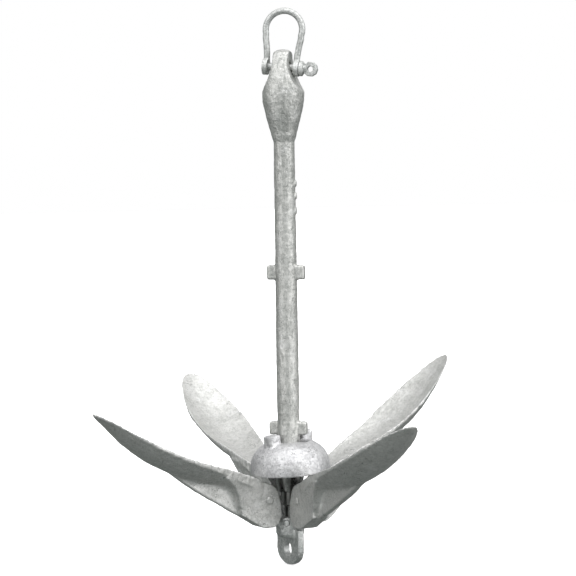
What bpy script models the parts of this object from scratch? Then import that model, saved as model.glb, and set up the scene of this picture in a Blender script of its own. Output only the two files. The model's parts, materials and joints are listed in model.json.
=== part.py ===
"""Folding grapnel anchor: shank, sliding dome collar, crown, four hinged flukes and a screw-pin shackle.

Units are metres and +Z runs up the shank towards the shackle. Every height below is drawn from
the level of the four fluke hinge pins; at the end the anchor is lifted as one, so that its origin
is on the shank's axis, at the foot of the tripping-eye plate. The flukes point along -X, -Y, +X
and +Y.
"""

import math

import bmesh
import bpy
from mathutils import Matrix, Vector

MM = 0.001
GAP = 0.3 * MM                      # clearance kept between neighbouring pieces

# Shank: a tapered round casting with a swollen, side-scooped head
SHANK_BASE_Z = 22 * MM
SHANK_BASE_R = 8.65 * MM
SHANK_TOP_Z = 275.5 * MM
SHANK_TOP_R = 7.85 * MM
HEAD_PROFILE = [(8.1, 275.9), (10.5, 284), (12.9, 292), (14.7, 300), (15.9, 306), (16.3, 311.5),
                (16.1, 317), (15.3, 323), (14.0, 329), (12.6, 334), (10.9, 339), (8.2, 343.5),
                (4.6, 345.8), (1.2, 346.5)]
SHACKLE_AZIMUTH = math.radians(-45)  # direction of the shackle pin and of the lugs
PIN_Z = 332.5 * MM
HEAD_HOLE_R = 4.6 * MM
SCOOP_R = 38.8 * MM
SCOOP_OFFSET = 44.5 * MM
SCOOP_RISE = 7.3 * MM               # scoop centre above the shackle pin

# Bayonet lugs, in two opposed pairs
LUG_REACH = 14.8 * MM
LUG_WIDTH = 7 * MM
LUG_CORNER = 1.4 * MM
LOWER_LUG = (48.7 * MM, 10.2 * MM)   # foot height, length
UPPER_LUG = (169 * MM, 11 * MM)

# Three plain raised pads on one side of the shank
PAD_AZIMUTH = math.radians(-38)
PAD_HEIGHTS = (222 * MM, 233.5 * MM, 243 * MM)
PAD_R = 3.4 * MM
PAD_PROUD = 1.2 * MM

# Turned steel spindle that joins the shank to the crown
SPINDLE_PROFILE = [(4.3, -27), (4.3, -6), (5.8, -5.6), (5.8, 4.6), (8.4, 4.9), (9.1, 5.9), (9.6, 9),
                   (10.6, 12.5), (11.6, 16.5), (12.2, 20.2), (12.2, 21.7), (4.5, 21.7), (4.5, 48)]
SPINDLE_BORE_R = 4.8 * MM
SPINDLE_BORE_TOP = 50 * MM

# Crown: hub, four hinge tongues and the tripping-eye plate
HUB_R = 11 * MM
HUB_TOP_Z = -14.5 * MM
HUB_BASE_Z = -29 * MM
TONGUE_T = 5 * MM
TONGUE_EYE_R = 6.2 * MM
TONGUE_ARM = 8.4 * MM               # width of the arm between hub and hinge eye
TONGUE_SLOPE = math.radians(235)    # direction of the arm from the hinge towards the hub
TONGUE_LENGTH = 24 * MM
EYE_PLATE_T = 5 * MM
EYE_PLATE_HALF = 16.2 * MM
EYE_PLATE_DROP = 12 * MM            # from the eye's centre down to the plate's end
EYE_Z = -40.3 * MM
EYE_R = 5.5 * MM
EYE_PLATE_STEPS = 15                # odd, so that the plate ends in a flat foot
SOCKET_R = 4.6 * MM
SOCKET_FLOOR_Z = -27.3 * MM
CROSS_PIN_R = 2.2 * MM
CROSS_PIN_Z = -19 * MM
CROSS_PIN_AZIMUTH = math.radians(45)

# Flukes, drawn in the hinge's own frame: x outwards, z up from the pin
HINGE_RADIUS = 22 * MM
HINGE_PIN_R = 2.5 * MM
HINGE_HEAD_R = 3.5 * MM
HINGE_HEAD_T = 0.5 * MM
CHEEK_HALF = 7.2 * MM               # half the thickness of the forked root
REST_LIFT = {"fluke_1": -1.2, "fluke_2": -3.5, "fluke_3": 10.2, "fluke_4": 2.6}   # degrees, loose hinges
BLADE_TOP = [(4, 14.3), (10, 18.0), (23, 23.2), (34, 27.4), (55, 34.0), (70, 39.0), (83, 44.8),
             (102, 54.4), (118, 63.8), (130, 71.3), (143.5, 79.4)]
BLADE_HALF_WIDTH = [(4, 7.2), (10, 8.4), (23, 11.8), (34, 14.7), (50, 18.3), (66, 21.6), (82, 23.4),
                    (97, 23.2), (109, 21.3), (120, 18.2), (129.5, 14.2), (136.8, 10.0), (141.6, 5.4),
                    (143.5, 1.4)]
BLADE_HOLLOW = [(4, 0.2), (23, 2.6), (40, 5.4), (60, 8.2), (80, 9.4), (100, 8.8), (118, 6.6),
                (130, 3.6), (143.5, 0.2)]
BLADE_THICK = [(4, 9.0), (30, 8.4), (60, 7.2), (100, 6.4), (126, 4.6), (143.5, 2.0)]
BLADE_RIM = [(4, 9.0), (20, 8.4), (36, 5.8), (55, 3.6), (80, 2.9), (110, 2.5), (143.5, 1.0)]
BLADE_UNDERCUT = 0.25               # how much narrower the underside is
BLADE_STATIONS = 18
BLADE_SPANS = 10
ROOT_OUTLINE = [(-10.3, -5.2), (-10.3, -13.6), (-7.8, -18.4), (-4, -21.2), (3, -21.5), (8, -20),
                (14, -16), (24.5, -9.2), (25.2, -2), (26, 8), (28, 18), (16, 17.8), (8, 16.2),
                (2.5, 14.2), (-1.2, 12.6), (-4.8, 10.2), (-7.4, 6.8), (-9.0, 1.5)]
KEEL_OUTLINE = [(18, -9), (24.5, -10.2), (34, -4.3), (55, 8.7), (70, 19.1), (84, 29.8), (93, 36.6),
                (88, 35.2), (74, 28.5), (60, 24.3), (40, 19.5), (20, 14)]
KEEL_HALF = 2.7 * MM

# Dome collar
COLLAR_TILT = math.radians(3.6)     # the loose collar leans on the highest fluke
COLLAR_BORE_Z = 40.5 * MM           # middle of the bore, which the collar rocks about
COLLAR_OUTER = [(31.3, 20.0), (31.35, 23), (30.9, 27), (29.6, 31.5), (27.1, 35.9), (23.6, 39.6),
                (19.6, 42.2), (16.4, 43.2), (10.4, 43.6)]
COLLAR_INNER = [(27.7, 20.0), (27.6, 23.5), (26.4, 28.2), (23.7, 32.4), (19.5, 35.9), (15, 37.7),
                (9.1, 38.0)]
COLLAR_BORE_R = 9.1 * MM
COLLAR_LIP_Z = 43.1 * MM
KEYWAY_REACH = 15.6 * MM
KEYWAY_WIDTH = 8.6 * MM
HORN_AZIMUTH = math.radians(9)
HORN_INNER = 10.6 * MM
HORN_OUTER = 21.3 * MM
HORN_HALF = 4.6 * MM
HORN_FOOT_Z = 36.5 * MM
HORN_TOP_Z = 50.2 * MM
HORN_CORNER = 1.5 * MM

# Shackle, drawn with x along its pin and z up the bow
SHACKLE_LEAN = math.radians(5)      # the loose pin lets the bow lean
SHACKLE_SHIFT = -1.2 * MM           # and slide along the pin
BAR_R = 2.5 * MM
BOW_R = 14.5 * MM
BOW_CENTRE = 29.0 * MM
BOW_LEG = [(14.0, 22.5), (12.9, 16.5), (12.1, 10), (11.7, 3.0)]
EAR_R = 6.4 * MM
EAR_T = 4.0 * MM
EAR_X = 12.3 * MM
SHACKLE_PIN_R = 3.0 * MM
SHOULDER_R = 5.9 * MM
SHOULDER_T = 3.2 * MM
TAB_R = 5.8 * MM
TAB_T = 3.8 * MM
TAB_X = 23.2 * MM
TAB_HOLE_R = 2.2 * MM
TAB_SIDES = 10

FLUKE_FOLD = math.radians(60)       # from the drawn position up to the shank
SLOT_SPARE = 3                      # degrees of spare swing for the tongue at each end

ZINC = ("galvanised", (0.52, 0.54, 0.53), 0.46, 0.85)
STEEL = ("turned_steel", (0.16, 0.16, 0.15), 0.34, 1.0)


def clear_scene():
    for old in list(bpy.data.objects):
        bpy.data.objects.remove(old, do_unlink=True)


def finish_material(finish, name):
    """Gives each sub-part its own material of the stated finish."""
    slot, colour, roughness, metallic = finish
    material = bpy.data.materials.new(name + "_" + slot)
    material.use_nodes = True
    shader = material.node_tree.nodes["Principled BSDF"]
    shader.inputs["Base Color"].default_value = (*colour, 1.0)
    shader.inputs["Roughness"].default_value = roughness
    shader.inputs["Metallic"].default_value = metallic
    return material


def scaled(points):
    return [(a * MM, b * MM) for a, b in points]


def follow(points, x):
    """Smooth curve through (x, value) points, with Catmull-Rom slopes."""
    last = len(points) - 2
    i = next((k for k in range(last + 1) if x <= points[k + 1][0]), last)
    (x0, y0), (x1, y1) = points[i], points[i + 1]

    def slope(k):
        a, b = points[max(k - 1, 0)], points[min(k + 1, len(points) - 1)]
        return (b[1] - a[1]) / (b[0] - a[0])

    h = x1 - x0
    t = (x - x0) / h
    cubic, square = t * t * t, t * t
    return ((2 * cubic - 3 * square + 1) * y0 + (cubic - 2 * square + t) * h * slope(i)
            + (3 * square - 2 * cubic) * y1 + (cubic - square) * h * slope(i + 1))


def to_object(name, bm, matrix=None):
    """Links a bmesh as a new object, cleaned and facing out."""
    bmesh.ops.remove_doubles(bm, verts=bm.verts, dist=1e-7)
    bmesh.ops.recalc_face_normals(bm, faces=bm.faces)
    if matrix is not None:
        bm.transform(matrix)
    mesh = bpy.data.meshes.new(name)
    bm.to_mesh(mesh)
    bm.free()
    made = bpy.data.objects.new(name, mesh)
    bpy.context.scene.collection.objects.link(made)
    return made


def lathe(name, profile, steps, matrix=None):
    """Closed solid of revolution about Z from an outline whose ends are joined to the axis."""
    bm = bmesh.new()
    points = [(0.0, profile[0][1]), *profile, (0.0, profile[-1][1])]
    verts = [bm.verts.new((r, 0, z)) for r, z in points]
    edges = [bm.edges.new(pair) for pair in zip(verts, verts[1:])]
    bmesh.ops.spin(bm, geom=verts + edges, cent=(0, 0, 0), axis=(0, 0, 1),
                   angle=math.tau, steps=steps, use_merge=True)
    return to_object(name, bm, matrix)


def prism(name, outline, half, matrix=None):
    """An outline in the XZ plane, thickened by half to each side along Y."""
    bm = bmesh.new()
    face = bm.faces.new([bm.verts.new((x, -half, z)) for x, z in outline])
    grown = bmesh.ops.extrude_face_region(bm, geom=[face])
    moved = [v for v in grown["geom"] if isinstance(v, bmesh.types.BMVert)]
    bmesh.ops.translate(bm, vec=(0, 2 * half, 0), verts=moved)
    return to_object(name, bm, matrix)


def rod(name, radius, start, end, sides=24):
    """A round bar between two points."""
    start, end = Vector(start), Vector(end)
    axis = end - start
    bm = bmesh.new()
    bmesh.ops.create_cone(bm, cap_ends=True, segments=sides, radius1=radius, radius2=radius,
                          depth=axis.length)
    turn = axis.to_track_quat("Z", "Y").to_matrix().to_4x4()
    return to_object(name, bm, Matrix.Translation((start + end) / 2) @ turn)


def box(name, low, high, corner=0.0, matrix=None):
    """A block between two corners, its edges rounded by corner."""
    low, high = Vector(low), Vector(high)
    bm = bmesh.new()
    bmesh.ops.create_cube(bm, size=1.0)
    bmesh.ops.scale(bm, vec=high - low, verts=bm.verts)
    bmesh.ops.translate(bm, vec=(low + high) / 2, verts=bm.verts)
    if corner:
        bmesh.ops.bevel(bm, geom=bm.edges[:], offset=corner, segments=2, profile=0.5, affect="EDGES")
    return to_object(name, bm, matrix)


def arc(centre, radius, start, end, steps):
    """Points on a circle, from one angle to another in degrees."""
    angles = [math.radians(start + (end - start) * k / steps) for k in range(steps + 1)]
    return [(centre[0] + radius * math.cos(a), centre[1] + radius * math.sin(a)) for a in angles]


def split_into_triangles(mesh):
    bm = bmesh.new()
    bm.from_mesh(mesh)
    bmesh.ops.remove_doubles(bm, verts=bm.verts, dist=1e-6)
    bmesh.ops.dissolve_degenerate(bm, edges=bm.edges, dist=1e-6)
    bmesh.ops.triangulate(bm, faces=bm.faces)
    bm.to_mesh(mesh)
    bm.free()


def combine(target, others, operation):
    """Joins or cuts target with each of the others in turn, baking every step into its mesh."""
    for other in others:
        step = target.modifiers.new(other.name, "BOOLEAN")
        step.operation = operation
        step.solver = "EXACT"
        step.object = other
        bpy.context.view_layer.update()
        seen = target.evaluated_get(bpy.context.evaluated_depsgraph_get())
        target.data = bpy.data.meshes.new_from_object(seen)
        target.modifiers.clear()
        split_into_triangles(target.data)
        bpy.data.objects.remove(other, do_unlink=True)
    return target


def publish(made, name, finish, parent=None):
    """Names a finished piece, gives it its material and hangs it on its joint's empty."""
    made.name = name
    made.data.name = name
    made.data.materials.clear()
    made.data.materials.append(finish_material(finish, name))
    made.data.shade_smooth()
    made.data.set_sharp_from_angle(angle=math.radians(35))
    if parent is not None:
        made.parent = parent
    return made


def joint_empty(name, matrix):
    empty = bpy.data.objects.new(name, None)
    empty.matrix_world = matrix
    bpy.context.scene.collection.objects.link(empty)
    return empty


def about_z(angle):
    return Matrix.Rotation(angle, 4, "Z")


def lug_pair(foot):
    """Two opposed lugs, as one bar straight through the shank."""
    low, length = foot
    half = LUG_WIDTH / 2
    return box("lug", (-LUG_REACH, -half, low), (LUG_REACH, half, low + length), LUG_CORNER,
               about_z(SHACKLE_AZIMUTH))


def side_pad(height):
    """A low round pad standing proud of the shank's side."""
    reach = SHANK_TOP_R + PAD_PROUD
    bm = bmesh.new()
    bmesh.ops.create_cone(bm, cap_ends=True, segments=12, radius1=PAD_R, radius2=PAD_R * 0.7,
                          depth=reach / 2)
    place = about_z(PAD_AZIMUTH) @ Matrix.Translation((reach * 0.75, 0, height))
    return to_object("pad", bm, place @ Matrix.Rotation(math.pi / 2, 4, "Y"))


def make_shank():
    outline = [(SHANK_BASE_R, SHANK_BASE_Z), (SHANK_TOP_R, SHANK_TOP_Z), *scaled(HEAD_PROFILE)]
    shank = lathe("shank", outline, 32)
    combine(shank, [lug_pair(LOWER_LUG), lug_pair(UPPER_LUG), *map(side_pad, PAD_HEIGHTS)], "UNION")
    across = about_z(SHACKLE_AZIMUTH)
    cuts = [rod("bore", SPINDLE_BORE_R, (0, 0, 0), (0, 0, SPINDLE_BORE_TOP))]
    for side in (-1, 1):
        centre = Vector((side * SCOOP_OFFSET, 0, PIN_Z + SCOOP_RISE))
        half = Vector((0, 30 * MM, 0))
        cuts.append(rod("scoop", SCOOP_R, across @ (centre - half), across @ (centre + half), 72))
    reach = Vector((30 * MM, 0, 0))
    pin = Vector((0, 0, PIN_Z))
    cuts.append(rod("eye", HEAD_HOLE_R, across @ (pin - reach), across @ (pin + reach)))
    return publish(combine(shank, cuts, "DIFFERENCE"), "shank", ZINC)


def cross_pin(radius, reach):
    """A bar through hub and spindle, to each side of the axis by reach."""
    end = about_z(CROSS_PIN_AZIMUTH) @ Vector((reach, 0, 0))
    lift = Vector((0, 0, CROSS_PIN_Z))
    return rod("cross_pin", radius, lift - end, lift + end, 16)


def make_spindle():
    spindle = lathe("spindle", scaled(SPINDLE_PROFILE), 28)
    combine(spindle, [cross_pin(CROSS_PIN_R + GAP, 2 * HUB_R)], "DIFFERENCE")
    return publish(spindle, "spindle", STEEL)


def make_cross_pin():
    """Rivet through hub and spindle, flush with the hub."""
    return publish(cross_pin(CROSS_PIN_R, HUB_R - 0.1 * MM), "crown_pin", ZINC)


def hinge_tongue(azimuth):
    """Arm from the hub to one hinge eye."""
    spread = math.degrees(math.asin(TONGUE_ARM / 2 / TONGUE_EYE_R))
    slope = math.degrees(TONGUE_SLOPE)
    eye = arc((HINGE_RADIUS, 0), TONGUE_EYE_R, slope + spread, slope + 360 - spread, 14)
    along = Vector((math.cos(TONGUE_SLOPE), math.sin(TONGUE_SLOPE)))
    side = Vector((-along.y, along.x)) * (TONGUE_ARM / 2)
    end = Vector((HINGE_RADIUS, 0)) + along * TONGUE_LENGTH
    return prism("tongue", eye + [tuple(end - side), tuple(end + side)], TONGUE_T / 2, about_z(azimuth))


def make_crown():
    hub = lathe("crown", [(HUB_R - 1.6 * MM, HUB_BASE_Z - 1.5 * MM), (HUB_R, HUB_BASE_Z + 1 * MM),
                          (HUB_R, HUB_TOP_Z - 0.9 * MM), (HUB_R - 0.9 * MM, HUB_TOP_Z)], 32)
    half, top = EYE_PLATE_HALF, HUB_BASE_Z + 5 * MM
    end = [(x * half, EYE_Z + z * EYE_PLATE_DROP) for x, z in arc((0, 0), 1, 0, -180, EYE_PLATE_STEPS)]
    plate = [(half, top), *end, (-half, top)]
    eye_plate = prism("plate", plate, EYE_PLATE_T / 2, about_z(math.pi / 2))
    tongues = [hinge_tongue(math.pi / 2 * k) for k in range(4)]
    combine(hub, [eye_plate, *tongues], "UNION")
    cuts = [rod("socket", SOCKET_R, (0, 0, SOCKET_FLOOR_Z), (0, 0, 0)),
            rod("trip", EYE_R, (-2 * HUB_R, 0, EYE_Z), (2 * HUB_R, 0, EYE_Z))]
    for k in range(4):
        turn = about_z(math.pi / 2 * k)
        start, end = (turn @ Vector((HINGE_RADIUS, side * TONGUE_T, 0)) for side in (-1, 1))
        cuts.append(rod("pivot", HINGE_PIN_R + GAP, start, end, 20))
    cuts.append(cross_pin(CROSS_PIN_R + GAP, 2 * HUB_R))
    return publish(combine(hub, cuts, "DIFFERENCE"), "crown", ZINC)


def blade_ring(x):
    """One cross-section of the spoon blade, at x millimetres from the hinge."""
    half, top = follow(BLADE_HALF_WIDTH, x), follow(BLADE_TOP, x)
    hollow, thick, rim = follow(BLADE_HOLLOW, x), follow(BLADE_THICK, x), follow(BLADE_RIM, x)
    across = [2 * k / BLADE_SPANS - 1 for k in range(BLADE_SPANS + 1)]
    upper = [(x, t * half, top - hollow * (1 - t * t)) for t in across]
    lower = []
    for t in reversed(across):
        depth = rim + (thick - rim) * (1 - t * t)
        lower.append((x, t * (half - BLADE_UNDERCUT), top - hollow * (1 - t * t) - depth))
    return [Vector(p) * MM for p in upper + lower]


def make_blade():
    """Spoon blade, skinned over its cross-sections and closer-spaced towards the tip."""
    start, end = BLADE_TOP[0][0], BLADE_TOP[-1][0]
    bm = bmesh.new()
    rings = []
    for k in range(BLADE_STATIONS + 1):
        share = math.sin(math.pi / 2 * k / BLADE_STATIONS)
        rings.append([bm.verts.new(p) for p in blade_ring(start + (end - start) * share)])
    for ring, following in zip(rings, rings[1:]):
        for k in range(len(ring)):
            near = (k + 1) % len(ring)
            bm.faces.new((ring[k], ring[near], following[near], following[k]))
    bm.faces.new(rings[0])
    bm.faces.new(rings[-1])
    return to_object("blade", bm)


def root_slot():
    """Clearance between the root's cheeks for the crown's tongue, over the whole fold."""
    reach = TONGUE_EYE_R + 0.7 * MM
    offset = TONGUE_ARM / 2 + 0.6 * MM
    spread = math.degrees(math.asin(offset / reach))
    slope = math.degrees(TONGUE_SLOPE)
    open_angle = slope - min(REST_LIFT.values()) + SLOT_SPARE
    shut_angle = slope - math.degrees(FLUKE_FOLD) - SLOT_SPARE
    curve = arc((0, 0), reach, open_angle - 360 + spread, shut_angle - spread, 16)
    outline = list(curve)
    for angle, point in ((shut_angle, curve[-1]), (open_angle, curve[0])):
        direction = math.radians(angle)
        outline.append((point[0] + 30 * MM * math.cos(direction), point[1] + 30 * MM * math.sin(direction)))
    return prism("slot", outline, TONGUE_T / 2 + GAP)


def make_fluke_mesh():
    root = prism("fluke", scaled(ROOT_OUTLINE), CHEEK_HALF)
    combine(root, [make_blade(), prism("keel", scaled(KEEL_OUTLINE), KEEL_HALF)], "UNION")
    pivot = rod("pivot", HINGE_PIN_R + GAP, (0, -2 * CHEEK_HALF, 0), (0, 2 * CHEEK_HALF, 0), 20)
    combine(root, [root_slot(), pivot], "DIFFERENCE")
    return root


def make_hinge_pin():
    """Rivet with a low head formed on each end."""
    end = CHEEK_HALF + GAP
    outline = [(HINGE_HEAD_R * 0.6, -end - HINGE_HEAD_T), (HINGE_HEAD_R, -end), (HINGE_PIN_R, -end),
               (HINGE_PIN_R, end), (HINGE_HEAD_R, end), (HINGE_HEAD_R * 0.6, end + HINGE_HEAD_T)]
    return lathe("pin", outline, 20, Matrix.Rotation(math.pi / 2, 4, "X"))


def make_flukes():
    """Four copies of one fluke and its pin, each hung on its own hinge."""
    fluke, pin = make_fluke_mesh(), make_hinge_pin()
    for number in range(4):
        name = "fluke_%d" % (number + 1)
        azimuth = math.pi + number * math.pi / 2
        hinge = about_z(azimuth) @ Matrix.Translation((HINGE_RADIUS, 0, 0))
        hinge = hinge @ Matrix.Rotation(-math.radians(REST_LIFT[name]), 4, "Y")
        empty = joint_empty(name + "_hinge", hinge)
        for source, label in ((fluke, name), (pin, "hinge_pin_%d" % (number + 1))):
            copy = bpy.data.objects.new(label, source.data.copy())
            bpy.context.scene.collection.objects.link(copy)
            publish(copy, label, ZINC, empty)
    bpy.data.objects.remove(fluke, do_unlink=True)
    bpy.data.objects.remove(pin, do_unlink=True)


def ring_solid(name, outline, steps):
    """A solid of revolution about Z from a closed outline that stays off the axis."""
    bm = bmesh.new()
    verts = [bm.verts.new((r, 0, z)) for r, z in outline]
    edges = [bm.edges.new(pair) for pair in zip(verts, verts[1:] + verts[:1])]
    bmesh.ops.spin(bm, geom=verts + edges, cent=(0, 0, 0), axis=(0, 0, 1),
                   angle=math.tau, steps=steps, use_merge=True)
    return to_object(name, bm)


def horn(side):
    """One of the two raised blocks on the collar's crown, fused down into the dome."""
    low = Vector((HORN_INNER, -HORN_HALF, HORN_FOOT_Z))
    high = Vector((HORN_OUTER, HORN_HALF, HORN_TOP_Z))
    return box("horn", low, high, HORN_CORNER, about_z(HORN_AZIMUTH + side * math.pi))


def collar_frame():
    """The collar rocks about the middle of its loose bore, up on the side of the highest fluke."""
    bore = Matrix.Translation((0, 0, COLLAR_BORE_Z))
    return bore @ Matrix.Rotation(-COLLAR_TILT, 4, "Y") @ bore.inverted()


def make_collar():
    outline = scaled(COLLAR_OUTER) + [(COLLAR_BORE_R, COLLAR_LIP_Z)] + scaled(COLLAR_INNER)[::-1]
    collar = ring_solid("collar", outline, 44)
    combine(collar, [horn(0), horn(1)], "UNION")
    half = KEYWAY_WIDTH / 2
    keyway = box("keyway", (-KEYWAY_REACH, -half, 30 * MM), (KEYWAY_REACH, half, 60 * MM), 0,
                 about_z(SHACKLE_AZIMUTH))
    bore = rod("bore", COLLAR_BORE_R, (0, 0, 30 * MM), (0, 0, 60 * MM), 44)
    empty = joint_empty("collar_travel", collar_frame())
    return publish(combine(collar, [keyway, bore], "DIFFERENCE"), "collar", ZINC, empty)


def shackle_frame():
    """World placement of the shackle: x along its pin, z up the leaning bow."""
    lean = Matrix.Rotation(SHACKLE_LEAN, 4, "Y")
    turn = about_z(SHACKLE_AZIMUTH) @ lean
    return Matrix.Translation((0, 0, PIN_Z)) @ turn @ Matrix.Translation((SHACKLE_SHIFT, 0, 0))


def sweep(name, path, radius, sides):
    """A round bar along a path in the XZ plane."""
    bm = bmesh.new()
    rings = []
    for k, point in enumerate(path):
        before, after = Vector(path[max(k - 1, 0)]), Vector(path[min(k + 1, len(path) - 1)])
        tangent = (after - before).normalized()
        outward = Vector((tangent.y, -tangent.x))
        ring = []
        for s in range(sides):
            angle = math.tau * s / sides
            offset = outward * (radius * math.cos(angle))
            ring.append(bm.verts.new((point[0] + offset.x, radius * math.sin(angle), point[1] + offset.y)))
        rings.append(ring)
    for ring, following in zip(rings, rings[1:]):
        for s in range(sides):
            near = (s + 1) % sides
            bm.faces.new((ring[s], ring[near], following[near], following[s]))
    bm.faces.new(rings[0])
    bm.faces.new(rings[-1])
    return to_object(name, bm)


def make_shackle(empty):
    leg = scaled(BOW_LEG)
    bow = arc((0, BOW_CENTRE), BOW_R, -16, 196, 22)
    path = leg[::-1] + bow + [(-x, z) for x, z in leg]
    shackle = sweep("shackle", path, BAR_R, 12)
    near, far = EAR_X - EAR_T / 2, EAR_X + EAR_T / 2
    ears = [rod("ear", EAR_R, (side * near, 0, 0), (side * far, 0, 0), 28) for side in (-1, 1)]
    combine(shackle, ears, "UNION")
    hole = rod("hole", SHACKLE_PIN_R + GAP, (-2 * far, 0, 0), (2 * far, 0, 0), 20)
    combine(shackle, [hole], "DIFFERENCE")
    return publish(shackle, "shackle_bow", ZINC, empty)


def make_shackle_pin(empty):
    """Screw pin with a shoulder and a flat thumb eye."""
    face = EAR_X + EAR_T / 2
    outline = [(SHACKLE_PIN_R - 0.4 * MM, GAP - face), (SHACKLE_PIN_R, GAP - face + 0.5 * MM),
               (SHACKLE_PIN_R, face + GAP), (SHOULDER_R, face + GAP),
               (SHOULDER_R, face + GAP + SHOULDER_T * 0.7),
               (SHOULDER_R * 0.75, face + GAP + SHOULDER_T), (SHACKLE_PIN_R, face + GAP + SHOULDER_T),
               (SHACKLE_PIN_R, TAB_X - TAB_HOLE_R - 1 * MM)]
    pin = lathe("screw", outline, 20, Matrix.Rotation(math.pi / 2, 4, "Y"))
    tab = prism("tab", arc((TAB_X, 0), TAB_R, 0, 360 - 360 / TAB_SIDES, TAB_SIDES - 1), TAB_T / 2)
    combine(pin, [tab], "UNION")
    hole = rod("hole", TAB_HOLE_R, (TAB_X, -10 * MM, 0), (TAB_X, 10 * MM, 0), 16)
    return publish(combine(pin, [hole], "DIFFERENCE"), "shackle_pin", ZINC, empty)


def stand_on_foot():
    """Lifts the whole anchor so that the flat foot of its eye plate is at the origin."""
    foot = EYE_Z - EYE_PLATE_DROP * math.cos(math.pi / EYE_PLATE_STEPS / 2)
    for item in bpy.context.scene.objects:
        if item.parent is None:
            item.matrix_world = Matrix.Translation((0, 0, -foot)) @ item.matrix_world
    bpy.context.view_layer.update()


def main():
    clear_scene()
    make_shank()
    make_spindle()
    make_crown()
    make_cross_pin()
    make_flukes()
    make_collar()
    swing = joint_empty("shackle_swing", shackle_frame())
    make_shackle(swing)
    make_shackle_pin(swing)
    stand_on_foot()


main()
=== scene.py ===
"""Looks of the folding grapnel anchor: rough galvanised castings round a turned steel spindle.

Every piece but the spindle is rebuilt from its CAD node as an even skin of small quads. The skin's edges
are rounded, its inner corners are filled as in a casting, and its surface is made lumpy. The spindle is spun
afresh. Lengths are metres; MM is one millimetre.
"""

import json
import math

import bmesh
import bpy
import numpy as np
from mathutils import Matrix, Vector, noise

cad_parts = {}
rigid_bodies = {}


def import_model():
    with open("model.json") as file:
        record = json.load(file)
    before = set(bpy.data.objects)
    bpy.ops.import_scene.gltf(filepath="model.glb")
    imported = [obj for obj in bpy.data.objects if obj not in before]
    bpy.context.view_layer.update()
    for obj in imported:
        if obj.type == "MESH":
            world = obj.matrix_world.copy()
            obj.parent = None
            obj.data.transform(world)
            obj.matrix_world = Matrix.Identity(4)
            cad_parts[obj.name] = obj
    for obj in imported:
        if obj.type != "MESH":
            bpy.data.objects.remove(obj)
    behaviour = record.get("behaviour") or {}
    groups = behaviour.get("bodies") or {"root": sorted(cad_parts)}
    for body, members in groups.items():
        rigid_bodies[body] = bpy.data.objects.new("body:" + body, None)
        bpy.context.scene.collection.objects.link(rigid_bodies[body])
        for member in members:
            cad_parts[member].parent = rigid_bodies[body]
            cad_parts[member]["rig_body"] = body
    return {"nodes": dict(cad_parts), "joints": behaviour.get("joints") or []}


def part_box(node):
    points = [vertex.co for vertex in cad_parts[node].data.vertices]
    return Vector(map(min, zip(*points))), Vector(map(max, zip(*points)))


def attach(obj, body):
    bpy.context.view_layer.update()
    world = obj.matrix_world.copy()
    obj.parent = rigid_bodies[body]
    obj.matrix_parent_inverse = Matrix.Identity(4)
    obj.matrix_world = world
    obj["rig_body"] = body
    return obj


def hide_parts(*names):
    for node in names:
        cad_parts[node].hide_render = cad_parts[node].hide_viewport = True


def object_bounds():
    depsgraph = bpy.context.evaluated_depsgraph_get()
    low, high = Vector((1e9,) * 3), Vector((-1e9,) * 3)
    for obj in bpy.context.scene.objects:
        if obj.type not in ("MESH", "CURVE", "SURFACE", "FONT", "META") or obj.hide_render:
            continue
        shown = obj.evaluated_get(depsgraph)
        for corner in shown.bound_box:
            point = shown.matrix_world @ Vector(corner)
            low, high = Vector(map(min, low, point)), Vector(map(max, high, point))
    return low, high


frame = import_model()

MM = 0.001
PER_METRE = 1000                     # millimetres
cad_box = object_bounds()

# Size of the skin's quads on each kind of piece
SHANK_QUAD = 0.6 * MM
COLLAR_QUAD = 0.6 * MM
FLUKE_QUAD = 0.7 * MM
CROWN_QUAD = 0.5 * MM
SHACKLE_QUAD = 0.4 * MM
PIN_QUAD = 0.3 * MM

# Zones: each is the pair of distances between which a treatment fades in. A zone keeps a bore or a sliding
# face as the CAD has it, or picks out one feature.
BEYOND_SHANK_BORE = (5.6 * MM, 7.2 * MM)        # from the axis
BEYOND_HEAD_HOLE = (5.5 * MM, 7 * MM)           # from the shackle's pin
BEYOND_BAR = (9.2 * MM, 10 * MM)                # from the axis
ON_LUGS = (9.6 * MM, 10.6 * MM)                 # from the axis
OVER_COLLAR = (62 * MM, 80 * MM)                # over the hinge pins
BEYOND_COLLAR_BORE = (11 * MM, 14 * MM)         # from the axis
ON_DOME_TOP = (14 * MM, 17 * MM)                # over the collar's rim
BEYOND_KEYWAYS = (16 * MM, 18 * MM)             # from the axis
ALONG_KEYWAYS = (6 * MM, 9 * MM)                # from the axis, along the keyways
BEYOND_HORN_ROOT = (12 * MM, 14 * MM)           # from the axis
ON_HORNS = (-9 * MM, -7 * MM)                   # over the horns' tops
BEYOND_SLOT = (6.4 * MM, 7.0 * MM)              # from a fluke's middle plane
BEYOND_TONGUE = (24 * MM, 28 * MM)              # from a fluke's hinge
BEYOND_HINGE_HOLE = (4.5 * MM, 6.5 * MM)        # from a fluke's hinge
ON_BLADE = (24 * MM, 40 * MM)                   # from a fluke's hinge
ON_SHOULDER_TOP = (13 * MM, 17 * MM)            # over a fluke's hinge
BEYOND_SHOULDER = (24 * MM, 32 * MM)            # outwards from a fluke's hinge
ON_RIM = (0.86, 0.96)                           # share of the blade's half-width
OVER_HUB = (-17 * MM, -15 * MM)                 # over the hinge pins
BEYOND_EYE = (5.5 * MM, 7 * MM)                 # from the tripping eye's middle
BEYOND_TENON = (5.2 * MM, 6.5 * MM)             # from the axis
OVER_EYE_PLATE = (20 * MM, 22 * MM)             # over the crown's foot

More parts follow.
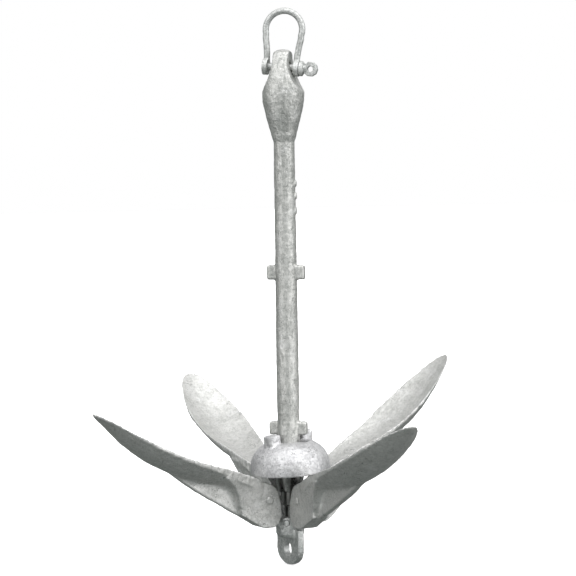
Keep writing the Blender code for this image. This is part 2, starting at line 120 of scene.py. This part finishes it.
EYE_HEIGHT = 12 * MM                 # over the crown's foot
BAR_SWELL = 0.2 * MM                 # zinc that thickens the shank's bar
RIM_SHARE = 0.8                      # how rough a blade's rim is, against its shoulder
RIM_STATION = 3 * MM                 # step along a blade in which its width is measured
INWARD_STEP = 0.5                    # rounds an edge
OUTWARD_STEP = 0.53                  # undoes the inward step where the skin is even
FILL_STEP = 0.9                      # fills an inner corner
TURNS_PER_NORMAL = 4                 # fill steps between two updates of the normals

# Spindle outline, as radius and height over the hinge pins, in millimetres
SPINDLE_OUTLINE = [(3.6, -27), (4.3, -26.3), (4.3, -6.4), (4.6, -6), (5.4, -6), (5.8, -5.6), (5.8, 4.3),
                   (6.1, 4.6), (8.2, 4.8), (8.8, 5.1), (9.1, 5.8), (9.2, 6.6), (9.6, 9), (10.6, 12.5),
                   (11.6, 16.5), (12.2, 20.2), (12.2, 21.2), (11.8, 21.7), (4.5, 21.7), (4.5, 47.6),
                   (4.1, 48)]
SPINDLE_STEPS = 96
SPINDLE_CREASE = math.radians(25)

# Fluke as drawn, x outwards from its hinge and z up: height angle of its tip, and the flank cast between the
# cheek and the blade, as x, lower and upper z, lower and upper half-width in millimetres
FLUKE_TIP_RISE = math.atan2(79.4, 143.5)
FLANK = [(8, -8, 15.0, 7.0, 8.2), (16, -8, 17.8, 7.0, 9.8), (23, -6, 19.4, 7.1, 11.6),
         (26.5, -2, 20.3, 7.6, 12.6), (28.5, 6, 20.8, 9.6, 13.1), (33, 14, 21.6, 12.2, 14.2),
         (38, 19, 22.6, 14.4, 15.5), (42, 22, 23.4, 15.8, 16.4)]
FLANK_ROWS = 8

# Camera: where it stands round the shank, and how it looks at it
CAMERA_AZIMUTH = math.radians(-30.78)
CAMERA_DISTANCE = 1.621
CAMERA_HEIGHT = 0.236                # over the hinge pins
CAMERA_PITCH = math.radians(2.18)
CAMERA_ROLL = math.radians(-0.91)
CAMERA_LENS = 131.1
CAMERA_SHIFT = (0.0033, -0.0267)
CAMERA_REACH = (0.05, 100)           # nearest and farthest that it sees

# Tall soft lights: angle round from the camera, half-width of the glow, and strength
SIDE_LIGHTS = [(-0.93, 0.42, 1.50), (1.05, 0.60, 1.95)]
SIDE_LIGHT_CORE = 0.15               # half-width of the full glow

# Softbox overhead: where it hangs from the middle of the anchor, its size and its power
OVERHEAD_BACK = 0.45
OVERHEAD_RIGHT = 0.25
OVERHEAD_UP = 1.5
OVERHEAD_SIZE = 1.3
OVERHEAD_POWER = 7.5
ANCHOR_MIDDLE = 0.10                 # over the hinge pins

FLOOR_GAP = 0.4 * MM                 # the floor lies this far under the anchor's foot
FLOOR_HALF = 30
FLOOR_GLOW = 0.55

# Colours
PALE, GREY = (0.72, 0.72, 0.70), (0.36, 0.37, 0.355)
BLADE_PALE, BLADE_GREY = (0.70, 0.70, 0.685), (0.50, 0.505, 0.49)
DOME_PALE, DOME_GREY = (0.71, 0.71, 0.72), (0.44, 0.44, 0.45)
CROWN_PALE, CROWN_GREY = (0.64, 0.65, 0.64), (0.34, 0.355, 0.35)
BAR_PALE, BAR_GREY = (0.72, 0.73, 0.72), (0.42, 0.43, 0.42)
BLOOM = (0.86, 0.86, 0.87, 1)
PIT = (0.13, 0.135, 0.13, 1)
SEAM = (0.20, 0.205, 0.20, 1)
# lighter zinc on convex edges: rubbed zinc, and a painted highlight there
EDGE_WEAR_AND_HIGHLIGHT = (0.80, 0.81, 0.81, 1)
# very dark steel and lighter bare steel, mixed in random patches on the spindle
DARK_STEEL, BARE = (0.12, 0.12, 0.115, 1), (0.42, 0.42, 0.41, 1)
WHITE = (1, 1, 1, 1)
SHADE = (0.92, 1.0, 0.965, 1)        # the faint green of the studio's darker parts
FLOOR_WHITE = (0.92, 0.92, 0.92, 1)


class Skin:
    """An even skin of quads whose points can be rounded, filled and roughened."""

    def __init__(self, mesh, quad):
        self.quad = quad
        self.mesh = remeshed(mesh, quad)
        count = len(self.mesh.vertices)
        flat = np.empty(count * 3, np.float32)
        self.mesh.vertices.foreach_get("co", flat)
        self.points = flat.reshape(-1, 3).astype(float)
        pairs = np.empty(len(self.mesh.edges) * 2, np.int32)
        self.mesh.edges.foreach_get("vertices", pairs)
        self.near, self.far = pairs.reshape(-1, 2).T
        self.valence = np.bincount(pairs, minlength=count)[:, None]

    def pull(self):
        """From each point to the middle of its neighbours."""
        total = np.empty_like(self.points)
        count = len(self.points)
        for axis in range(3):
            value = self.points[:, axis]
            total[:, axis] = np.bincount(self.near, value[self.far], count)
            total[:, axis] += np.bincount(self.far, value[self.near], count)
        return total / self.valence - self.points

    def store(self):
        self.mesh.vertices.foreach_set("co", self.points.astype(np.float32).ravel())
        self.mesh.update()

    def normals(self):
        self.store()
        flat = np.empty(len(self.points) * 3, np.float32)
        self.mesh.vertices.foreach_get("normal", flat)
        return flat.reshape(-1, 3).astype(float)

    def round_edges(self, rounds, where=1.0):
        """Softens edges without shrinking the whole piece: each inward step is undone outwards."""
        share = np.broadcast_to(where, len(self.points))[:, None]
        for _ in range(rounds):
            self.points += INWARD_STEP * self.pull() * share
            self.points -= OUTWARD_STEP * self.pull() * share

    def fill_corners(self, rounds, radius, where):
        """Grows a fillet in each inner corner, up to the given radius."""
        flat_enough = self.quad * self.quad / (4 * radius)
        for turn in range(rounds):
            if turn % TURNS_PER_NORMAL == 0:
                normals = self.normals()
            step = np.einsum("ij,ij->i", self.pull(), normals) - flat_enough
            self.points += normals * (np.clip(step, 0, None) * FILL_STEP * where)[:, None]

    def roughen(self, height, size, seed, where=1.0):
        """Raises and sinks the surface by a smooth noise with lumps of the given size."""
        shift = Vector((7.31 * seed, 3.17 * seed, 5.73 * seed))
        lumps = np.array([noise.noise(Vector(p) / size + shift) for p in self.points])
        self.points += self.normals() * (height * lumps * where)[:, None]


def remeshed(mesh, quad):
    """The closed mesh rebuilt as quads of one size."""
    bm = bmesh.new()
    bm.from_mesh(mesh)
    bmesh.ops.remove_doubles(bm, verts=bm.verts, dist=1e-6)
    source = bpy.data.meshes.new("source")
    bm.to_mesh(source)
    bm.free()
    holder = bpy.data.objects.new("holder", source)
    bpy.context.scene.collection.objects.link(holder)
    step = holder.modifiers.new("voxels", "REMESH")
    step.mode = "VOXEL"
    step.voxel_size = quad
    seen = holder.evaluated_get(bpy.context.evaluated_depsgraph_get())
    made = bpy.data.meshes.new_from_object(seen)
    bpy.data.objects.remove(holder, do_unlink=True)
    return made


def joint(name):
    """Place and direction of a joint, as vectors."""
    found = next(j for j in frame["joints"] if j["name"] == name)
    return {"pos": Vector(found.get("pos_m", (0, 0, 0))), "axis": Vector(found["axis"]).normalized()}


def between(value, low, high):
    """0 below low, 1 above high, and smooth between them."""
    share = np.clip((value - low) / (high - low), 0, 1)
    return share * share * (3 - 2 * share)


def install(mesh, node, material):
    """Makes the mesh a shown piece that stands for a CAD node and moves with its body."""
    piece = bpy.data.objects.new(node + "_cast", mesh)
    bpy.context.scene.collection.objects.link(piece)
    mesh.materials.clear()
    mesh.materials.append(material)
    mesh.shade_smooth()
    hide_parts(node)
    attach(piece, frame["nodes"][node]["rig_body"])


# Materials

class Graph:
    """Small helper that adds nodes to a material and links them."""

    def __init__(self, tree):
        self.tree = tree

    def add(self, kind, **inputs):
        node = self.tree.nodes.new(kind)
        for name, value in inputs.items():
            self.set(node, name.replace("_", " "), value)
        return node

    def set(self, node, name, value):
        socket = node.inputs[name]
        if isinstance(value, bpy.types.NodeSocket):
            self.tree.links.new(value, socket)
        else:
            socket.default_value = value

    def math(self, operation, first, second=0.0):
        node = self.tree.nodes.new("ShaderNodeMath")
        node.operation = operation
        self.set(node, 0, first)
        self.set(node, 1, second)
        return node.outputs[0]

    def ramp(self, value, low, high, start=0.0, end=1.0):
        """Maps low to high onto start to end, smoothly, and holds it beyond."""
        node = self.tree.nodes.new("ShaderNodeMapRange")
        node.interpolation_type = "SMOOTHSTEP"
        for index, given in enumerate((value, low, high, start, end)):
            self.set(node, index, given)
        return node.outputs["Result"]

    def mix(self, share, first, second):
        node = self.tree.nodes.new("ShaderNodeMix")
        node.data_type = "RGBA"
        for socket, given in ((node.inputs[0], share), (node.inputs[6], first), (node.inputs[7], second)):
            if isinstance(given, bpy.types.NodeSocket):
                self.tree.links.new(given, socket)
            else:
                socket.default_value = given
        return node.outputs[2]

    def noise(self, place, scale, detail=4.0, roughness=0.6):
        node = self.add("ShaderNodeTexNoise", Vector=place, Scale=scale, Detail=detail, Roughness=roughness)
        return node.outputs["Fac"]

    def mapped(self, scale, shift=(0, 0, 0)):
        """The piece's own coordinates, scaled and shifted."""
        place = self.add("ShaderNodeTexCoord").outputs["Object"]
        return self.add("ShaderNodeMapping", Vector=place, Scale=scale, Location=shift).outputs[0]


def new_material(name):
    material = bpy.data.materials.new(name)
    material.use_nodes = True
    return material, Graph(material.node_tree), material.node_tree.nodes["Principled BSDF"]


def zinc(name, light, dark, stretch=1.0, pits=0.5, bloom=0.3, seams=0.0, metallic=0.88, grain=1.0,
         seed=0.0):
    """Weathered hot-dip zinc: mottled grey with spangle, dull streaks, dark pits, seams and pale bloom.

    Its patterns are scaled in millimetres. A stretch below 1 draws the mottle out along the shank.
    """
    material, graph, shader = new_material(name)
    streaked = graph.mapped((PER_METRE, PER_METRE, PER_METRE * stretch), (seed, seed, seed))
    even = graph.mapped((PER_METRE, PER_METRE, PER_METRE), (seed, 0, seed))
    clouds = graph.noise(streaked, 0.06, 3)
    mottle = graph.noise(streaked, 0.30 * grain, 6, 0.72)
    speckle = graph.noise(even, 0.75 * grain, 4, 0.75)
    cells = graph.add("ShaderNodeTexVoronoi", Vector=even, Scale=0.42)
    spangle = graph.add("ShaderNodeSeparateColor", Color=cells.outputs["Color"]).outputs[0]
    # tone: broad clouds, then mottle, then speckle
    tone = graph.math("MULTIPLY", clouds, 0.45)
    for layer, share in ((mottle, 0.75), (speckle, 0.75), (spangle, 0.08)):
        tone = graph.math("ADD", tone, graph.math("MULTIPLY", layer, share))
    tone = graph.ramp(tone, 0.78, 1.22)
    colour = graph.mix(tone, (*dark, 1), (*light, 1))
    # pale zinc bloom
    patch = graph.ramp(graph.noise(even, 0.09, 5, 0.7), 0.53, 0.68, 0.0, bloom)
    colour = graph.mix(patch, colour, BLOOM)
    # dark pits, in loose groups
    holes = graph.add("ShaderNodeTexVoronoi", Vector=even, Scale=0.55).outputs["Distance"]
    groups = graph.ramp(graph.noise(even, 0.12, 3), 0.50, 0.62)
    pit = graph.math("MULTIPLY", graph.ramp(holes, 0.30, 0.12), groups)
    colour = graph.mix(graph.math("MULTIPLY", pit, pits), colour, PIT)
    # thin dark seams here and there
    level = graph.math("ABSOLUTE", graph.math("SUBTRACT", graph.noise(even, 0.045, 4, 0.55), 0.5))
    cracked = graph.ramp(graph.noise(even, 0.03, 2), 0.52, 0.58)
    seam = graph.math("MULTIPLY", graph.ramp(level, 0.0045, 0.0015), cracked)
    colour = graph.mix(graph.math("MULTIPLY", seam, seams), colour, SEAM)
    # convex edges painted lighter: rubbed zinc, and a painted highlight along the edges
    edge_wear_and_highlight = graph.ramp(graph.add("ShaderNodeNewGeometry").outputs["Pointiness"], 0.52, 0.60, 0.0, 0.45)
    colour = graph.mix(edge_wear_and_highlight, colour, EDGE_WEAR_AND_HIGHLIGHT)
    graph.set(shader, "Base Color", colour)
    graph.set(shader, "Metallic", metallic)
    dullness = graph.ramp(tone, 0.0, 1.0, 0.60, 0.42)
    dullness = graph.math("ADD", dullness, graph.math("MULTIPLY", spangle, 0.06))
    graph.set(shader, "Roughness", dullness)
    # surface: mottle and speckle stand up, pits sink
    height = graph.math("ADD", mottle, graph.math("MULTIPLY", speckle, 0.55))
    height = graph.math("SUBTRACT", height, graph.math("MULTIPLY", pit, 0.8))
    bump = graph.add("ShaderNodeBump", Height=height, Strength=1.0, Distance=0.32 * MM)
    graph.set(shader, "Normal", bump.outputs[0])
    return material


def turned_steel(name):
    """Bare lathe-turned steel, very dark in colour with lighter patches, and with fine rings left by the
    tool.
    """
    material, graph, shader = new_material(name)
    rings = graph.noise(graph.mapped((40, 40, 3000)), 1.0, 2)
    patches = graph.noise(graph.mapped((PER_METRE, PER_METRE, 0.4 * PER_METRE)), 0.15)
    colour = graph.mix(graph.ramp(patches, 0.35, 0.7), DARK_STEEL, BARE)
    graph.set(shader, "Base Color", colour)
    graph.set(shader, "Metallic", 1.0)
    graph.set(shader, "Roughness", graph.ramp(patches, 0.3, 0.7, 0.20, 0.34))
    bump = graph.add("ShaderNodeBump", Height=rings, Strength=0.6, Distance=0.03 * MM)
    graph.set(shader, "Normal", bump.outputs[0])
    return material


# Pieces

def hinge_height():
    return joint("fluke_1_fold")["pos"].z


def off_axis(points):
    """How far each point is from the shank's axis."""
    return np.hypot(points[:, 0], points[:, 1])


def off_line(points, start, direction):
    """How far each point is from a line."""
    offset = points - np.array(start)
    along = offset @ np.array(direction)
    return np.linalg.norm(offset - along[:, None] * np.array(direction), axis=1)


def make_shank(material):
    """The cast shank: lumpy all over, with its lugs rounded and its bar swollen by zinc over the collar."""
    skin = Skin(frame["nodes"]["shank"].data, SHANK_QUAD)
    skin.round_edges(8)
    radius = off_axis(skin.points)
    outside = between(radius, *BEYOND_SHANK_BORE)
    pin = joint("shackle_swing")
    clear_of_pin = between(off_line(skin.points, pin["pos"], pin["axis"]), *BEYOND_HEAD_HOLE)
    skin.round_edges(30, between(radius, *ON_LUGS) * clear_of_pin)
    skin.fill_corners(60, 4 * MM, outside * clear_of_pin)
    clear_of_collar = between(skin.points[:, 2] - hinge_height(), *OVER_COLLAR)
    bar = outside * clear_of_pin * clear_of_collar * (1 - between(radius, *BEYOND_BAR))
    skin.points += skin.normals() * (BAR_SWELL * bar)[:, None]
    skin.roughen(0.24 * MM, 9 * MM, 1, outside * clear_of_pin)
    skin.roughen(0.20 * MM, 1.9 * MM, 2, outside)
    skin.store()
    install(skin.mesh, "shank", material)


def make_collar(material):
    """The cast dome: its horns are rounded and rough, its bore and keyways plain."""
    skin = Skin(frame["nodes"]["collar"].data, COLLAR_QUAD)
    skin.round_edges(8)
    radius = off_axis(skin.points)
    height = skin.points[:, 2]
    low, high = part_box("collar")
    clear_of_bore = between(radius, *BEYOND_COLLAR_BORE)
    upper = between(height - low.z, *ON_DOME_TOP)
    keyed = joint("shackle_swing")["axis"]         # the keyways lie along the shackle's pin
    along = np.abs(skin.points[:, 0] * keyed.x + skin.points[:, 1] * keyed.y)
    clear_of_key = np.maximum(between(radius, *BEYOND_KEYWAYS), 1 - between(along, *ALONG_KEYWAYS))
    horns = between(radius, *BEYOND_HORN_ROOT) * between(height - high.z, *ON_HORNS)
    skin.round_edges(40, horns)
    skin.fill_corners(160, 7 * MM, clear_of_bore * upper * clear_of_key)
    skin.roughen(0.30 * MM, 11 * MM, 3, clear_of_bore)
    skin.roughen(0.45 * MM, 4 * MM, 5, horns)
    skin.roughen(0.16 * MM, 2.4 * MM, 4, clear_of_bore)
    skin.store()
    install(skin.mesh, "collar", material)


def hinge_frame(number):
    """Matrix from a fluke as drawn, x outwards and z up, to its place on the anchor."""
    hinge = joint("fluke_%d_fold" % number)
    out = Vector((hinge["pos"].x, hinge["pos"].y, 0)).normalized()
    turn = Matrix((out, -hinge["axis"], Vector((0, 0, 1)))).transposed().to_4x4()
    place = Matrix.Translation(hinge["pos"]) @ turn
    back = place.inverted()
    tip = max((back @ v.co for v in frame["nodes"]["fluke_%d" % number].data.vertices),
              key=lambda p: p.x * p.x + p.z * p.z)
    return place @ Matrix.Rotation(FLUKE_TIP_RISE - math.atan2(tip.z, tip.x), 4, "Y")


def side_of(points):
    """How far each point is from a fluke's middle plane."""
    return np.abs(points[:, 1])


def flank():
    """Solid that carries the cheeks' sides up and out to the blade's edges, as in the real casting."""
    bm = bmesh.new()
    sides = []
    for side in (-1, 1):
        grid = []
        for x, low, high, narrow, wide in FLANK:
            column = []
            for row in range(FLANK_ROWS + 1):
                share = row / FLANK_ROWS
                half = narrow + (wide - narrow) * share
                column.append(bm.verts.new((x * MM, side * half * MM, (low + (high - low) * share) * MM)))
            grid.append(column)
        sides.append(grid)
    near, far = sides
    for here, there in ((near, far), (far, near)):
        for a, b in zip(here, here[1:]):
            for k in range(FLANK_ROWS):
                bm.faces.new((a[k], b[k], b[k + 1], a[k + 1]))
    for a, b, c, d in zip(near, near[1:], far, far[1:]):
        for k in (0, FLANK_ROWS):
            bm.faces.new((a[k], b[k], d[k], c[k]))
    for column, other in ((near[0], far[0]), (near[-1], far[-1])):
        for k in range(FLANK_ROWS):
            bm.faces.new((column[k], column[k + 1], other[k + 1], other[k]))
    bmesh.ops.recalc_face_normals(bm, faces=bm.faces)
    return bm


def make_flukes(material):
    """One cast fluke, copied to the four hinges and roughened differently on each."""
    bm = flank()
    drawn = frame["nodes"]["fluke_1"].data.copy()
    drawn.transform(hinge_frame(1).inverted())
    bm.from_mesh(drawn)
    bm.to_mesh(drawn)
    bm.free()
    skin = Skin(drawn, FLUKE_QUAD)
    skin.round_edges(8)
    from_hinge = np.hypot(skin.points[:, 0], skin.points[:, 2])
    solid = np.maximum(between(side_of(skin.points), *BEYOND_SLOT), between(from_hinge, *BEYOND_TONGUE))
    clear_of_pin = between(from_hinge, *BEYOND_HINGE_HOLE)
    skin.fill_corners(240, 9 * MM, solid * clear_of_pin)
    skin.round_edges(3)
    skin.store()
    base = skin.points.copy()
    blade = between(np.hypot(base[:, 0], base[:, 2]), *ON_BLADE)
    shoulder = between(base[:, 2], *ON_SHOULDER_TOP) * (1 - between(base[:, 0], *BEYOND_SHOULDER))
    station = np.clip(base[:, 0] / RIM_STATION, 0, None).astype(int)
    widest = np.zeros(station.max() + 1)
    np.maximum.at(widest, station, side_of(base))
    rim = RIM_SHARE * blade * between(side_of(base) / widest[station], *ON_RIM)
    for number in range(1, 5):
        skin.points = base.copy()
        skin.roughen(0.5 * MM, 24 * MM, 10 + number, blade)
        skin.roughen(0.26 * MM, 7 * MM, 20 + number, 0.4 + 0.6 * blade)
        skin.roughen(0.12 * MM, 2.4 * MM, 30 + number)
        skin.roughen(0.45 * MM, 3.5 * MM, 40 + number, np.maximum(shoulder, rim))
        skin.store()
        mesh = skin.mesh.copy()
        mesh.transform(hinge_frame(number))
        install(mesh, "fluke_%d" % number, material)


def make_crown(material):
    """The cast crown: filled and lumpy under the hub, and plain where the flukes and the spindle fit."""
    skin = Skin(frame["nodes"]["crown"].data, CROWN_QUAD)
    skin.round_edges(7)
    low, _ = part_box("crown")
    height = skin.points[:, 2]
    below = 1 - between(height - hinge_height(), *OVER_HUB)
    eye = Vector((0, 0, low.z + EYE_HEIGHT))
    clear_of_eye = between(off_line(skin.points, eye, Vector((1, 0, 0))), *BEYOND_EYE)
    outside = between(off_axis(skin.points), *BEYOND_TENON)
    solid = np.maximum(outside, 1 - between(height - low.z, *OVER_EYE_PLATE))
    skin.fill_corners(120, 6 * MM, below * clear_of_eye * solid)
    skin.roughen(0.22 * MM, 6 * MM, 41, below)
    skin.roughen(0.14 * MM, 2.2 * MM, 42, 0.4 + 0.6 * below)
    skin.store()
    install(skin.mesh, "crown", material)


def make_small(node, quad, rounds, lumps, material, seed):
    """A forged or turned small piece: edges rounded, surface slightly lumpy with zinc."""
    skin = Skin(frame["nodes"][node].data, quad)
    skin.round_edges(rounds)
    skin.roughen(lumps, 1.9 * MM, seed)
    skin.store()
    install(skin.mesh, node, material)


def make_spindle(material):
    """The turned spindle, with its shoulders and chamfers spun finer than in the CAD."""
    bm = bmesh.new()
    outline = [(0.0, SPINDLE_OUTLINE[0][1]), *SPINDLE_OUTLINE, (0.0, SPINDLE_OUTLINE[-1][1])]
    verts = [bm.verts.new((r * MM, 0, z * MM + hinge_height())) for r, z in outline]
    edges = [bm.edges.new(pair) for pair in zip(verts, verts[1:])]
    bmesh.ops.spin(bm, geom=verts + edges, cent=(0, 0, 0), axis=(0, 0, 1), angle=math.tau,
                   steps=SPINDLE_STEPS, use_merge=True)
    bmesh.ops.remove_doubles(bm, verts=bm.verts, dist=1e-7)
    bmesh.ops.recalc_face_normals(bm, faces=bm.faces)
    mesh = bpy.data.meshes.new("spindle")
    bm.to_mesh(mesh)
    bm.free()
    install(mesh, "spindle", material)
    mesh.set_sharp_from_angle(angle=SPINDLE_CREASE)


# Stage

def make_floor():
    """A wide pale floor at the anchor's foot that sends no light back up onto it."""
    mesh = bpy.data.meshes.new("floor")
    bm = bmesh.new()
    bmesh.ops.create_grid(bm, x_segments=1, y_segments=1, size=FLOOR_HALF)
    bm.to_mesh(mesh)
    bm.free()
    floor = bpy.data.objects.new("floor", mesh)
    floor.location.z = cad_box[0].z - FLOOR_GAP
    bpy.context.scene.collection.objects.link(floor)
    material, graph, shader = new_material("pale_floor")
    graph.set(shader, "Base Color", FLOOR_WHITE)
    graph.set(shader, "Roughness", 0.9)
    graph.set(shader, "Specular IOR Level", 0.0)
    graph.set(shader, "Emission Color", WHITE)
    graph.set(shader, "Emission Strength", FLOOR_GLOW)
    mesh.materials.append(material)
    floor.visible_diffuse = False
    floor.visible_glossy = False


def make_world():
    """Two tall soft lights, at the left and right of the camera, under a white ceiling."""
    world = bpy.data.worlds.new("studio")
    bpy.context.scene.world = world
    world.use_nodes = True
    graph = Graph(world.node_tree)
    background = world.node_tree.nodes["Background"]
    split = graph.add("ShaderNodeSeparateXYZ", Vector=graph.add("ShaderNodeTexCoord").outputs["Generated"])

    def share_along(direction):
        return graph.math("ADD", graph.math("MULTIPLY", split.outputs["X"], direction.x),
                          graph.math("MULTIPLY", split.outputs["Y"], direction.y))

    around = graph.math("ARCTAN2", share_along(camera_right()), share_along(camera_back()))
    height = split.outputs["Z"]
    # dim below, bright over the anchor and a little less so right overhead, with some glow from the front
    level = graph.ramp(height, -0.5, 0.0, 0.17, 0.23)
    level = graph.math("ADD", level, graph.ramp(height, 0.1, 0.55, 0.0, 0.66))
    level = graph.math("SUBTRACT", level, graph.ramp(height, 0.58, 0.95, 0.0, 0.20))
    level = graph.math("ADD", level, graph.ramp(graph.math("ABSOLUTE", around), 1.3, 0.2, 0.0, 0.18))
    for middle, width, strength in SIDE_LIGHTS:
        off = graph.math("ABSOLUTE", graph.math("SUBTRACT", around, middle))
        lobe = graph.math("MULTIPLY", graph.ramp(off, width, SIDE_LIGHT_CORE, 0.0, strength),
                          graph.ramp(height, -0.6, -0.05))
        level = graph.math("ADD", level, lobe)
    tint = graph.mix(graph.ramp(level, 0.2, 0.8), SHADE, WHITE)
    # the camera itself sees plain white
    seen = graph.add("ShaderNodeLightPath").outputs["Is Camera Ray"]
    graph.set(background, "Color", graph.mix(seen, tint, WHITE))
    lit = graph.math("MULTIPLY", level, graph.math("SUBTRACT", 1.0, seen))
    graph.set(background, "Strength", graph.math("ADD", lit, seen))


def camera_back():
    """Level direction from the shank to the camera."""
    return Vector((math.sin(CAMERA_AZIMUTH), -math.cos(CAMERA_AZIMUTH), 0))


def camera_right():
    back = camera_back()
    return Vector((-back.y, back.x, 0))


def make_softbox():
    """A large softbox overhead, leaning to the camera's side."""
    aim = Vector((0, 0, hinge_height() + ANCHOR_MIDDLE))
    place = aim + camera_back() * OVERHEAD_BACK + camera_right() * OVERHEAD_RIGHT
    place.z += OVERHEAD_UP
    data = bpy.data.lights.new("overhead", "AREA")
    data.shape = "SQUARE"
    data.size = OVERHEAD_SIZE
    data.energy = OVERHEAD_POWER
    light = bpy.data.objects.new("overhead", data)
    light.location = place
    light.rotation_euler = (aim - place).to_track_quat("-Z", "Y").to_euler()
    bpy.context.scene.collection.objects.link(light)


def make_camera():
    """The camera at the photo's angle."""
    back = camera_back()
    up = Vector((0, 0, 1))
    ahead = -back * math.cos(CAMERA_PITCH) - up * math.sin(CAMERA_PITCH)
    right = ahead.cross(up).normalized()
    over = right.cross(ahead)
    across = right * math.cos(CAMERA_ROLL) + over * math.sin(CAMERA_ROLL)
    over = over * math.cos(CAMERA_ROLL) - right * math.sin(CAMERA_ROLL)
    data = bpy.data.cameras.new("camera")
    data.sensor_width = 36
    data.lens = CAMERA_LENS
    data.shift_x, data.shift_y = CAMERA_SHIFT
    data.clip_start, data.clip_end = CAMERA_REACH
    camera = bpy.data.objects.new("camera", data)
    place = back * CAMERA_DISTANCE + up * (CAMERA_HEIGHT + hinge_height())
    camera.matrix_world = Matrix.Translation(place) @ Matrix((across, over, -ahead)).transposed().to_4x4()
    bpy.context.scene.collection.objects.link(camera)
    bpy.context.scene.camera = camera


def main():
    shank_zinc = zinc("zinc_shank", PALE, GREY, stretch=0.35, pits=0.7, bloom=0.25, grain=1.6, seed=3)
    blade_zinc = zinc("zinc_flukes", BLADE_PALE, BLADE_GREY, pits=0.5, bloom=0.3, seams=0.8, seed=11)
    dome_zinc = zinc("zinc_collar", DOME_PALE, DOME_GREY, pits=1.0, bloom=0.45, seed=5)
    crown_zinc = zinc("zinc_crown", CROWN_PALE, CROWN_GREY, pits=0.6, bloom=0.2, seed=17)
    bar_zinc = zinc("zinc_bar", BAR_PALE, BAR_GREY, pits=0.3, bloom=0.2, metallic=0.8, seed=23)
    make_shank(shank_zinc)
    make_collar(dome_zinc)
    make_crown(crown_zinc)
    make_flukes(blade_zinc)
    make_small("shackle_bow", SHACKLE_QUAD, 4, 0.10 * MM, bar_zinc, 51)
    make_small("shackle_pin", PIN_QUAD, 5, 0.08 * MM, bar_zinc, 52)
    for number in range(1, 5):
        make_small("hinge_pin_%d" % number, PIN_QUAD, 8, 0.08 * MM, blade_zinc, 60 + number)
    make_small("crown_pin", PIN_QUAD, 8, 0.06 * MM, crown_zinc, 71)
    make_spindle(turned_steel("turned_steel"))
    make_floor()
    make_world()
    make_softbox()
    make_camera()
    bpy.context.scene.view_settings.view_transform = "Standard"


main()
